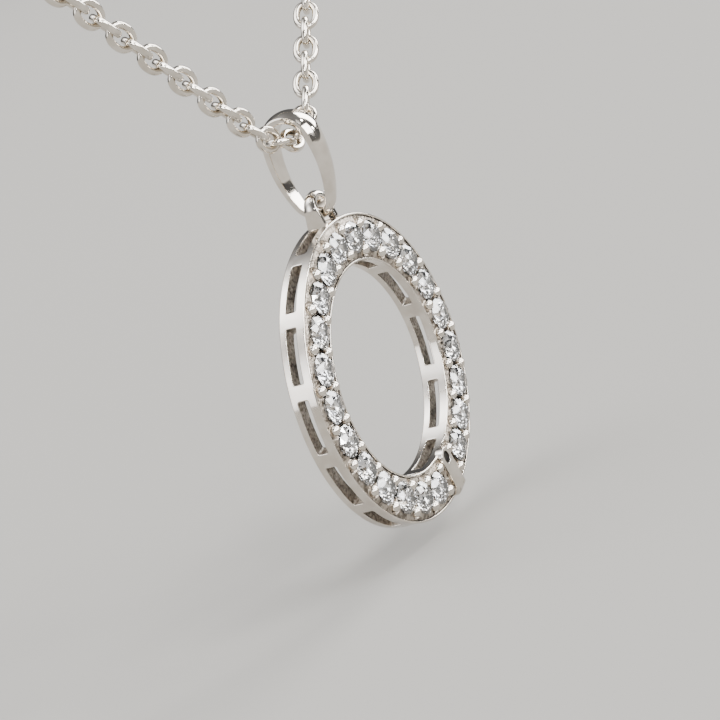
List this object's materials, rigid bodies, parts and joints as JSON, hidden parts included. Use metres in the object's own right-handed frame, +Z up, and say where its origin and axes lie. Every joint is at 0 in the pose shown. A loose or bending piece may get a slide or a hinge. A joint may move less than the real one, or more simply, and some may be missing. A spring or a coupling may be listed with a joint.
{
  "type": "open circle pendant necklace",
  "caption": "Open circle pendant with a row of round stones and pierced side walls, hung by an egg-shaped bail on a whole trace chain.",
  "frame": {"origin": "nape of the neck, the middle of the clasp on the chain's axis", "axes": "+X to the viewer's right, -Y to the front where the stones face, +Z up against gravity"},
  "size_m": [0.1226, 0.1319, 0.1189],
  "materials": {
    "white_gold": "polished rhodium-plated white gold",
    "chain_gold": "polished white gold chain",
    "diamond": "clear faceted stone"
  },
  "bodies": {
    "neck_chain": {"chain": "chain_gold", "clasp": "chain_gold"},
    "bail": {"bail": "white_gold"},
    "circle": {"circle_frame": "white_gold", "stone_01": "diamond", "stone_02": "diamond", "stone_03": "diamond", "stone_04": "diamond", "stone_05": "diamond", "stone_06": "diamond", "stone_07": "diamond", "stone_08": "diamond", "stone_09": "diamond", "stone_10": "diamond", "stone_11": "diamond", "stone_12": "diamond", "stone_13": "diamond", "stone_14": "diamond", "stone_15": "diamond", "stone_16": "diamond", "stone_17": "diamond", "stone_18": "diamond", "stone_19": "diamond", "stone_20": "diamond", "stone_21": "diamond", "stone_22": "diamond"}
  },
  "joints": [
    {"name": "bail_swing", "type": "hinge", "parent": "neck_chain", "child": "bail", "pos_m": [0, -0.12834, -0.09426], "axis": [1, 0, 0], "range_deg": [-50, 50]},
    {"name": "circle_swing", "type": "hinge", "parent": "bail", "child": "circle", "pos_m": [0, -0.12834, -0.09751], "axis": [1, 0, 0], "range_deg": [-40, 40]}
  ]
}
